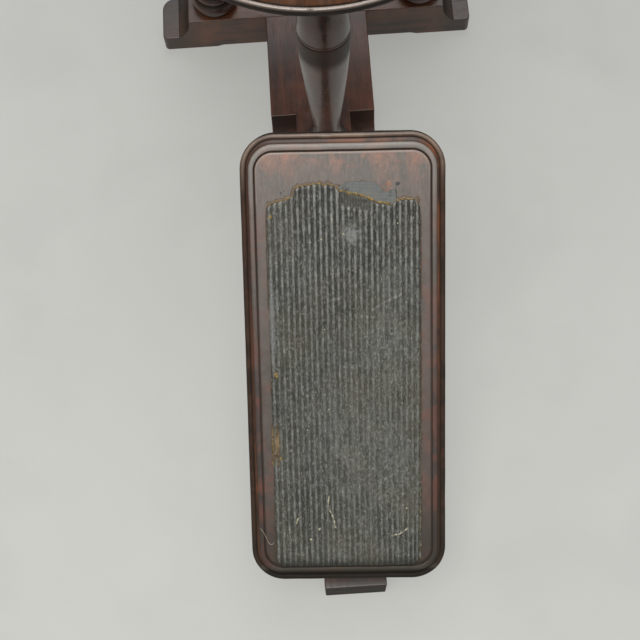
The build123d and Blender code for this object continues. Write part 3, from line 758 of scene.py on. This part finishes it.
def wear_at(x, y):
    """0 on sound ribs, towards 1 where feet have rubbed them flat."""
    worn = 0.24 + 0.34 * wobble(x * 0.035, y * 0.022, 1.5)
    worn += 0.30 * wobble(x * 0.22, y * 0.10, 4.5)
    worn += 0.20 * wobble(x * 0.7, y * 0.45, 2.5)
    worn += 0.20 * unit((75 - y) / 60) * unit((y + 150) / 40)
    for (sx, sy), reach, depth in SMOOTH_SPOTS:
        worn += depth * math.exp(-((x - sx) ** 2 + (y - sy) ** 2) / (reach * reach))
    return min(0.95, max(0.0, worn))


def mat_height(x, y, phase):
    """(height, crest, worn, bare) of the rubber's top; phase runs 0 to 1 over each rib."""
    swell = max(0.0, math.sin(math.pi * phase)) ** 1.5
    worn = wear_at(x, y)
    bare = peeled(x, y)
    streaks = 0.55 + 0.45 * math.sin(x * 3.4 + 2 * wobble(x, y * 0.3, 1))
    nick = max(0.0, wobble(x * 0.8, y * 0.7, 9.0) - 0.20) * 2.6
    chip = min(1.0, nick * (0.35 + 1.3 * worn))
    beat = wobble(math.floor((x + MAT_HALF_X) / RIB_PITCH) * 2.7, y * 0.17, 4)
    rib = RIB_HEIGHT * swell * (1 - WORN_AWAY * worn) * (1 - 0.75 * chip) * (1 + 0.25 * beat)
    rib += (0.10 + 0.22 * worn) * wobble(x * 1.9, y * 1.4, 3)
    full = RIB_FOOT + rib
    thin = PLY + 0.12 * abs(math.sin(x * 4.2)) + 0.08 * wobble(x, y, 8)
    height = full * (1 - bare) + thin * bare
    foot = min(1.0, 0.25 + max(0.0, y - MAT_LOW) / 6)
    crest = swell * (1 - 0.8 * chip) * (1 - bare) * (0.85 + 0.55 * beat) * foot + 0.7 * bare * streaks
    return height, max(0.0, crest), worn, bare


def rib_end(x, y, top):
    """1 at the torn end of a rib, where a highlight is painted on the broken rubber."""
    end = height_on(PEELED, x) if PEELED[0][0] < x < PEELED[-1][0] else top
    broken = 0.6 + 0.8 * wobble(x * 0.6, 2, 2)
    return max(0.0, 1 - abs(end - 0.9 - y) / 1.1) * unit(broken)


def add_rubber_mat():
    columns = RIBS * STEPS_PER_RIB
    rows = int((max(y for _, y in TORN_EDGE) - MAT_LOW) / MAT_ROW)
    verts = []
    marks = {"crest": [], "worn": [], "bare": [], "nicks_and_highlights": []}
    for i in range(columns + 1):
        x = -MAT_HALF_X + 2 * MAT_HALF_X * i / columns
        phase = (i % STEPS_PER_RIB) / STEPS_PER_RIB
        low, high = mat_bottom(x), torn_top(x)
        for j in range(rows + 1):
            y = low + (high - low) * j / rows
            height, crest, worn, bare = mat_height(x, y, phase)
            nicks = max(0.0, wobble(x * 0.55, y * 0.5, 31) - 0.42) * 2.4
            # Pale nicks and scratches, and a painted highlight on the torn rib ends.
            nicks_and_highlights = min(1.0, max(rib_end(x, y, high), scratched(x, y), nicks) * crest)
            down = unit((-y - 20) / 120)
            drift = 0.22 * wobble(x * 0.02, y * 0.03, 6)
            drift += BOWED * down * (1 - (x / MAT_HALF_X) ** 4)
            drift -= PULLED_IN * down * max(0.0, (x - 44) / 8.3)
            verts.append(((x + drift) * MM, y * MM, (MAT_BASE + height + TORN_LIP * nicks_and_highlights) * MM))
            for values, value in zip(marks.values(), (crest, worn, bare, nicks_and_highlights)):
                values.append(value)
    stride = rows + 1
    faces = []
    for i in range(columns):
        for j in range(rows):
            a = i * stride + j
            faces.append((a, a + stride, a + stride + 1, a + 1))
    rim = [i * stride for i in range(columns)] + [columns * stride + j for j in range(rows)]
    rim += [i * stride + rows for i in range(columns, 0, -1)] + [j for j in range(rows, 0, -1)]
    foot = len(verts)
    for index in rim:
        x, y, _ = verts[index]
        verts.append((x, y, MAT_BASE * MM))
        for values, value in zip(marks.values(), (0.0, 0.0, 0.6, 0.0)):
            values.append(value)
    count = len(rim)
    for k in range(count):
        n = (k + 1) % count
        faces.append((rim[k], foot + k, foot + n, rim[n]))
    faces.append(tuple(foot + k for k in range(count)))
    piece = new_piece("rubber_mat_ribbed", verts, faces, mat_rubber(), FOOT_BODY, "rubber", BOARD_PLACE,
                      marks=marks)
    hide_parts("rubber_mat")


def tab_outline():
    """The frayed upper edge of the canvas backing, from the mat's right side to its left."""
    tab = [(52.2, 108.5), (36.5, 109.5), (36.3, 114), (35.6, 121.8), (32, 121.4), (28.6, 120.4),
           (25.7, 123.8), (22.8, 127.0), (12.2, 128.2), (2.5, 127.5), (-3.2, 124.4), (-4, 118), (-20, 112),
           (-52.2, 109.5)]
    frayed = []
    for (x0, y0), (x1, y1) in zip(tab, tab[1:]):
        steps = max(1, int(math.hypot(x1 - x0, y1 - y0) / 0.9))
        for k in range(steps):
            x, y = x0 + (x1 - x0) * k / steps, y0 + (y1 - y0) * k / steps
            fray = 0.7 * wobble(x * 0.9, y * 0.9, 2)
            frayed.append((x + fray, y + fray))
    return [*frayed, tab[-1]]


def add_backing():
    """Canvas backing: hidden under the rubber, with the frayed tab that shows above the tear."""
    outline = [(-MAT_HALF_X, MAT_LOW + 6), (-MAT_HALF_X + 6, MAT_LOW), (MAT_HALF_X - 6, MAT_LOW),
               (MAT_HALF_X, MAT_LOW + 6)]
    points = outline + tab_outline()
    low = [(x * MM, y * MM, BOARD_FIELD) for x, y in points]
    high = [(x * MM, y * MM, (MAT_BASE - 0.02) * MM) for x, y in points]
    verts, faces = loft([low, high])
    piece = new_piece("mat_backing_frayed", verts, faces, backing_cloth(), FOOT_BODY, "cloth", BOARD_PLACE,
                      smooth=False)
    around = zip(points, points[1:] + points[:1])
    area = abs(sum(a[0] * b[1] - b[0] * a[1] for a, b in around)) / 2 * MM * MM
    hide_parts("mat_backing")


def side_of(path, k, reach):
    """Unit vector to the left of a path at its point k, judged over reach points each way."""
    ahead = path[min(k + reach, len(path) - 1)]
    behind = path[max(k - reach, 0)]
    along = Vector((ahead[0] - behind[0], ahead[1] - behind[1], 0)).normalized()
    return Vector((-along.y, along.x, 0))


def glue_bead(name, path, width, height, seed, material, base=3.8):
    """Crumbly bead of glue lying along a path; width, height and base in millimetres."""
    rings = []
    for k, (x, y) in enumerate(path):
        side = side_of(path, k, 1)
        taper = min(1.0, k / 3, (len(path) - 1 - k) / 3)
        half = max(0.06, width * 0.5 * (0.55 + 0.9 * wobble(x * 0.7, y * 0.7, seed)) * taper)
        lump = 0.6 + 0.8 * wobble(x * 1.3, y * 1.3, seed + 5)
        top = max(0.03, height * lump * (0.2 + 0.8 * taper))
        middle = Vector((x, y, 0)) + side * 0.5 * wobble(x * 0.9, y * 0.9, seed + 9)
        ring = []
        for across, up in ((-1, 0), (-0.75, 0.55), (-0.2, 1.0), (0.35, 0.85), (0.8, 0.5), (1, 0)):
            at = middle + side * (across * half)
            ring.append((at.x * MM, at.y * MM, (base + up * top) * MM))
        rings.append(ring)
    new_piece(name, *loft(rings), material, FOOT_BODY, "cloth", BOARD_PLACE)


def glue_skin(name, path, width, seed, material):
    """Thin stain of glue above a left-to-right path; width in millimetres."""
    rings, outline = [], []
    for k, (x, y) in enumerate(path):
        side = side_of(path, k, 2)
        taper = min(1.0, k / 4, (len(path) - 1 - k) / 4)
        reach = max(0.3, width * (0.9 + 1.1 * wobble(x * 0.35, seed, 1)) * (0.3 + 0.7 * taper))
        ring = []
        for across, up, dark in ((-0.6, 0.0, 0.3), (-0.5, 0.45, 0.3), (0.4, 0.32, 0.0), (0.82, 0.2, 0.3),
                                 (0.96, 0.14, 1.0), (1, 0.0, 1.0)):
            at = Vector((x, y, 0)) + side * (across * reach)
            ring.append((at.x * MM, at.y * MM, BOARD_FIELD + up * MM))
            outline.append(dark)
        rings.append(ring)
    new_piece(name, *loft(rings), material, FOOT_BODY, "cloth", BOARD_PLACE, marks={"outline": outline})


def add_glue(amber):
    stain = glue_stain()
    olive = old_glue("olive_glue", (0.026, 0.023, 0.015), (0.085, 0.072, 0.043), (0.20, 0.170, 0.098))
    tear = [(x, torn_top(x) + 0.3) for x in every(0.5, -52.0, 52.0)]
    glue_skin("glue_stain_left", [p for p in tear if p[0] < -2.0], 2.1, 3.0, stain)
    glue_skin("glue_stain_right", [p for p in tear if p[0] > 33.0], 2.0, 6.0, stain)
    glue_bead("glue_at_tear", tear, 1.7, 1.2, 1.0, amber)
    lip = [(p[0], p[1] + 0.9) for p in tear if -3.2 < p[0] < 34.0]
    glue_bead("glue_lip", lip, 3.0, 2.0, 8.0, amber)
    glue_bead("glue_tab_edge", tab_outline()[12:-12], 0.8, 0.75, 12.0, stain)
    # Down the mat's sides: x, lowest and highest y, width, and what the glue looks like.
    runs = {
        "glue_left_low": (-52.4, -74.0, -42.0, 2.6, amber),
        "glue_left_mid": (-52.6, -22.0, -8.0, 1.6, stain),
        "glue_right": (52.9, -40.0, 40.0, 1.2, stain),
        "glue_right_low": (51.8, -146.0, -30.0, 3.6, olive),
        "glue_right_top": (53.1, 45.0, 108.0, 1.2, stain),
        "glue_left_top": (-53.0, 40.0, 108.0, 1.0, stain),
        "glue_left_foot": (-52.6, -145.0, -100.0, 1.2, stain),
    }
    for seed, (name, (x, low, high, width, material)) in enumerate(runs.items()):
        path = [(x + 0.5 * wobble(y * 0.12, seed, 3), y) for y in every(0.8, low, high)]
        glue_bead(name, path, width, 1.6, 20.0 + seed, material)
    foot = [(x, MAT_LOW - 0.1) for x in every(0.9, -47.0, 47.0)]
    glue_bead("glue_low_edge", foot, 1.0, 0.7, 40.0, stain)


# (x, y, length, width, turn in degrees) of the larger chips on the mat, in millimetres.
FLAKES = [
    (-7.6, 102.9, 1.8, 1.0, 80), (-15.2, 89.3, 1.5, 1.1, 0), (-22.6, 87, 1.1, 0.9, 40),
    (-0.3, 92.6, 1.4, 1.3, 10), (37.1, 99.2, 1.3, 0.9, 10), (-27.0, -128.3, 1.9, 1.5, 0),
    (-9.2, -119.2, 1.4, 1.0, 30),
    (42.0, -105.7, 1.3, 0.9, 15), (31.3, -126.4, 1.4, 0.8, 0), (9.9, -116.9, 1.3, 0.9, 60),
]
CRUMBS = 45
CRUMBS_X = 48
CRUMBS_Y = (-144, 104)
DROPS = [(-49.6, 105.0, 3.4, 2.8, 70), (-48.8, -6.2, 4.4, 3.2, 90), (-46.8, -67.0, 3.0, 1.8, 80)]
DRY_LINES = [
    [(-13.4, -95.6), (-13.9, -99.9), (-14.0, -104.4), (-11.8, -109.0), (-10.5, -112.8), (-9.7, -118.9)],
    [(-37.2, -117.0), (-36.0, -113.2), (-33.1, -111.7)],
    [(-21.8, -121.8), (-19.6, -119.5)],
    [(31.5, -126.4), (37.1, -124.9), (40.7, -122.7), (43.6, -119.7)],
]


def flake(x, y, length, width, turn, seed):
    """Vertices and faces of one thin chip lying on the ribs."""
    base = MAT_BASE + mat_height(x, y, 0.5)[0] - 0.15
    spin = Matrix.Rotation(math.radians(turn), 2)
    rings = []
    for swell, up in ((0.75, 0.0), (1.0, 0.25), (0.75, 0.48), (0.25, 0.55)):
        ring = []
        for cos, sin in circle(10):
            rough = swell * (1 + 0.55 * wobble(cos * 1.5 + seed, sin * 1.5, seed))
            at = spin @ Vector((cos * length * 0.5 * rough, sin * width * 0.5 * rough))
            ring.append(((x + at.x) * MM, (y + at.y) * MM, (base + up) * MM))
        rings.append(ring)
    return loft(rings)


def add_chips(name, chips, material):
    verts, faces = [], []
    for seed, chip in enumerate(chips):
        chip_verts, chip_faces = flake(*chip, seed * 1.37)
        start = len(verts)
        verts += chip_verts
        faces += [tuple(start + index for index in face) for face in chip_faces]
    new_piece(name, verts, faces, material, FOOT_BODY, "cloth", BOARD_PLACE)


def add_flakes(amber):
    """Cream chips and dried drips on the rubber, with a scatter of crumbs, and three drops of amber glue."""
    chips = list(FLAKES)
    for _ in range(CRUMBS):
        x = random.uniform(-CRUMBS_X, CRUMBS_X)
        y = random.uniform(*CRUMBS_Y)
        size = random.uniform(0.3, 0.75)
        chips.append((x, y, size * 1.5, size, random.uniform(0, 180)))
    pale = pale_flake()
    add_chips("mat_flakes", chips, pale)
    add_chips("glue_drops", DROPS, amber)
    for seed, path in enumerate(DRY_LINES):
        glue_bead(f"dry_drip_{seed}", curve_through(path, 8), 1.9, 1.15, 50.0 + seed, pale, base=5.7)


def add_debris():
    """A loose fibre on the moulding."""
    fibre = bpy.data.curves.new("loose_fibre", "CURVE")
    fibre.dimensions = "3D"
    fibre.bevel_depth = 0.14 * MM
    fibre.bevel_resolution = 2
    strand = fibre.splines.new("NURBS")
    route = [(-63.3, -119.9, 5.3), (-61.2, -122.6, 5.9), (-59.8, -125.4, 5.4), (-58.9, -128.4, 4.7),
             (-57.9, -131.4, 4.2), (-55.9, -133.1, 4.1), (-54.4, -132.4, 4.2), (-53.9, -130.9, 4.4)]
    strand.points.add(len(route) - 1)
    for point, (x, y, z) in zip(strand.points, route):
        point.co = (x * MM, y * MM, z * MM, 1)
    strand.order_u = 3
    strand.use_endpoint_u = True
    fibre.materials.append(pale_fibre())
    piece = add_object("loose_fibre", fibre)
    piece.matrix_world = BOARD_PLACE
    bpy.context.view_layer.update()
    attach(piece, FOOT_BODY)


# --- Legs ---
LEG_FOOT = 16.0
LEG_HEAD = 264.0
BEAM_TOP = 41.0
LEG_SEGMENTS = 112
LEG_KNOCKS = 0.12


def leg_section():
    """(radius, height) up the turned leg, in millimetres."""
    run = [(10.0, LEG_FOOT), (11.0, LEG_FOOT + 1), (11.0, BEAM_TOP), (18.3, BEAM_TOP)]
    run += arc((13.9, 47.0), 6.6, -52, 62, 12)
    run += [(15.6, 53.2), (15.0, 53.6), (15.0, 54.2)]
    run += arc((13.3, 58.0), 3.9, -62, 62, 10)
    run += [(13.6, 61.9), (13.0, 62.3), (12.9, 63.0)]
    run += arc((11.9, 65.4), 2.1, -65, 65, 8)
    run += curve_through([(12.4, 67.6), (11.1, 74), (10.6, 81), (11.2, 90), (12.7, 104), (14.2, 122),
                          (16.2, 147), (17.9, 170), (19.2, 192), (19.9, 212), (19.95, 219.6)], 7)
    run += [(19.5, 220.2), (19.1, 220.6), (19.0, 221.2)]
    run += arc((18.9, 222.9), 1.3, -70, 60, 7)
    run += curve_through([(19.7, 224.6), (19.1, 232), (17.8, 241), (15.4, 250), (13.4, 257),
                          (12.8, LEG_HEAD)], 6)
    return run


LEG_CUTS = (53.6, 62.4, 68.0, 220.9)
# Heights, in millimetres, of the band under the upper ring that is darkened with painted shade.
SHADED_BAND = (193.0, 220.4)


def leg_dirt_and_shade(height, cos, sin, seed):
    """Grime and painted shade in the leg's cuts, and painted shade over the band under the upper ring."""
    nearest = min(abs(height - cut) for cut in LEG_CUTS)
    wander = 2.0 * wobble(cos * 2, sin * 2, seed + 3)
    band = unit((height - SHADED_BAND[0] + 3 - wander) / 11) * (height < SHADED_BAND[1])
    return max(0.6 * max(0.0, 1 - nearest / 1.3), 0.7 * band)


def add_leg(node, seed, material):
    centre = middle_of(*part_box(node))
    rings, dirt_and_shade = [], []
    for radius, height in leg_section():
        ring = []
        for cos, sin in circle(LEG_SEGMENTS):
            r = radius * MM + LEG_KNOCKS * MM * wobble(cos * 1.6, sin * 1.6, height * 0.03 + seed)
            ring.append((centre[0] + r * cos, centre[1] + r * sin, height * MM))
            dirt_and_shade.append(leg_dirt_and_shade(height, cos, sin, seed))
        rings.append(ring)
    piece = new_piece(f"{node}_turned", *loft(rings), material, STOOL_BODY, "wood", marks={"dirt_and_shade": dirt_and_shade})
    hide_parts(node)


# --- Seat ---
SEAT_RADIUS = 138.5
SEAT_TOP = 290.0
SEAT_UNDER = 264.0
SEAT_SEAM_X = -7.0 * MM
SEAM_GAP = 0.12 * MM
SEAT_SEGMENTS = 288
EDGE_LUMPS = 0.10
EDGE_KNOCKS = 0.9


def seat_section():
    """(radius, height, mark) round the seat's edge, in millimetres, from under its middle to its field.

    The mark is how dark it is painted, with grime and with painted shade, the underside and bevel being
    painted shade; below 0 it marks the bead, which gets a painted highlight.
    """
    r, top = SEAT_RADIUS, SEAT_TOP
    # Painted shade under the seat, down its bevel and on the bead's lower side; grime and painted shade in
    # its grooves.
    run = [(r - 30, SEAT_UNDER, 0.3), (r - 29, SEAT_UNDER + 0.05, 0.3)]
    bevel = curve_through([(r - 27, SEAT_UNDER + 0.4), (r - 19, SEAT_UNDER + 2.6),
                           (r - 11, SEAT_UNDER + 7.2), (r - 5.6, top - 12.6), (r - 4.2, top - 10.4)], 6)
    run += marked(bevel, 0.6)
    run += marked(arc((r - 3.9, top - 7.0), 3.0, -70, 50, 9), 0.7)
    run += [(r - 2.1, top - 4.1, 1.0), (r - 2.0, top - 3.3, 1.0)]
    run += marked(arc((r - 1.6, top - 1.6), 1.6, -75, 165, 14), -1.0)
    run += [(r - 3.25, top - 2.3, 0.8), (r - 3.4, top - 3.2, 1.0), (r - 4.3, top - 3.2, 1.0)]
    run += [(r - 4.7, top - 2.3, 1.0), (r - 5.1, top - 2.05, 0.9), (r - 5.7, top - 2.0, 0.2)]
    run += [(r - 9, top - 2.0, 0.0), (r - 40, top - 2.05, 0.0), (r - 90, top - 2.1, 0.0)]
    return run


def seat_mark(at, centre, section):
    """The mark of a vertex: that of the nearest point of the section."""
    radius = math.hypot(at[0] - centre[0], at[1] - centre[1]) / MM
    height = at[2] / MM
    return min(section, key=lambda point: (point[0] - radius) ** 2 + (point[1] - height) ** 2)[2]


def half_seat(verts, faces, side):
    """Vertices and faces of the seat on one side of its seam, closed along the cut."""
    mesh = bpy.data.meshes.new("seat_work")
    mesh.from_pydata(verts, [], faces)
    work = bmesh.new()
    work.from_mesh(mesh)
    cut = bmesh.ops.bisect_plane(
        work, geom=work.verts[:] + work.edges[:] + work.faces[:], plane_no=(side, 0, 0),
        plane_co=(SEAT_SEAM_X + side * SEAM_GAP, 0, 0), clear_inner=True)
    rim = [e for e in cut["geom_cut"] if isinstance(e, bmesh.types.BMEdge)]
    bmesh.ops.edgeloop_fill(work, edges=rim)
    work.to_mesh(mesh)
    work.free()
    return [v.co[:] for v in mesh.vertices], [tuple(p.vertices) for p in mesh.polygons]


def add_seat(edge_material, field_material):
    centre = middle_of(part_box("seat_board_left")[0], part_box("seat_board_right")[1])
    section = seat_section()
    rings = []
    for radius, height, _ in section:
        ring = []
        for cos, sin in circle(SEAT_SEGMENTS):
            lump = wobble(cos * 7, sin * 7, height * 0.05)
            knock = max(0.0, wobble(cos * 26, sin * 26, 3) - 0.5)
            at_edge = radius > SEAT_RADIUS - 10
            r = radius * MM + at_edge * (EDGE_LUMPS * MM * lump - EDGE_KNOCKS * MM * knock)
            ring.append((centre[0] + r * cos, centre[1] + r * sin, height * MM))
        rings.append(ring)
    whole = loft(rings)
    for side, node in ((-1, "seat_board_left"), (1, "seat_board_right")):
        verts, faces = half_seat(*whole, side)
        marks = [seat_mark(at, centre, section) for at in verts]
        piece = new_piece(f"{node}_moulded", verts, faces, edge_material, STOOL_BODY, "wood", marks={
            "dirt_and_shade": [max(0.0, mark) for mark in marks], "bead": [max(0.0, -mark) for mark in marks]})
        piece.data.materials.append(field_material)
        for polygon in piece.data.polygons:
            outward = math.hypot(polygon.center.x - centre[0], polygon.center.y - centre[1]) / MM
            on_top = polygon.center.z > (SEAT_TOP - 2.5) * MM
            polygon.material_index = int(on_top and outward < SEAT_RADIUS - 4.9)
            polygon.use_smooth = abs(polygon.normal.z) < 0.999 and abs(polygon.normal.x) < 0.9999
        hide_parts(node)


# --- Everything together ---
def dress(material, *nodes):
    """Give CAD nodes a material."""
    for node in nodes:
        frame["nodes"][node].data.materials.clear()
        frame["nodes"][node].data.materials.append(material)


def add_floor():
    reach = 6
    verts = [(-reach, -reach, 0), (reach, -reach, 0), (reach, reach, 0), (-reach, reach, 0)]
    mesh = bpy.data.meshes.new("floor")
    mesh.from_pydata(verts, [], [(0, 1, 2, 3)])
    mesh.materials.append(floor_paper())
    add_object("floor", mesh)


def main():
    random.seed(11)
    add_camera()
    add_light()
    add_floor()
    grey_soot, black_soot = (0.036, 0.035, 0.032), (0.008, 0.009, 0.006)
    timber_x = mahogany("mahogany_cross", "X", (0.024, 0.012, 0.008), (0.140, 0.048, 0.018),
                        shift=1.7, coat=0.25, soot=("X", 0.100, 0.122, black_soot))
    timber_y = mahogany("mahogany_rail", "Y", (0.036, 0.017, 0.012), (0.140, 0.046, 0.022),
                        gloss=0.38, wear=0.12, shift=4.2, coat=0.3, soot=("Y", 0.292, 0.307, grey_soot))
    legs = mahogany("mahogany_legs", "Z", (0.016, 0.010, 0.008), (0.080, 0.026, 0.014), gloss=0.3, shift=7.9)
    seat_edge = mahogany("mahogany_seat_edge", "Y", (0.024, 0.015, 0.011), (0.085, 0.036, 0.020),
                         gloss=0.24, shift=2.3, coat=0.6)
    seat_field = mahogany("mahogany_seat_field", "Y", (0.024, 0.009, 0.004), (0.095, 0.036, 0.011),
                          gloss=0.62, shift=2.3, coat=0.0, shine=0.15)
    dress(timber_x, "cross_beam")
    dress(timber_y, "long_rail", "rail_cheek_left", "rail_cheek_right", "saddle_block")
    dress(legs, "foot_post")
    dress(dark_iron(), "pivot_washer", "keeper_washer", "keeper_screw", "saddle_screws")
    dress(bare_dowel(), "beam_dowels", "cheek_dowels", "seat_dowels")
    for seed, node in enumerate(("leg_front", "leg_rear_left", "leg_rear_right")):
        add_leg(node, seed * 3.1, legs)
    add_seat(seat_edge, seat_field)
    add_foot_board()
    add_backing()
    add_rubber_mat()
    amber = old_glue("amber_glue", (0.036, 0.026, 0.013), (0.17, 0.112, 0.034), (0.44, 0.310, 0.095))
    add_glue(amber)
    add_flakes(amber)
    add_debris()


main()
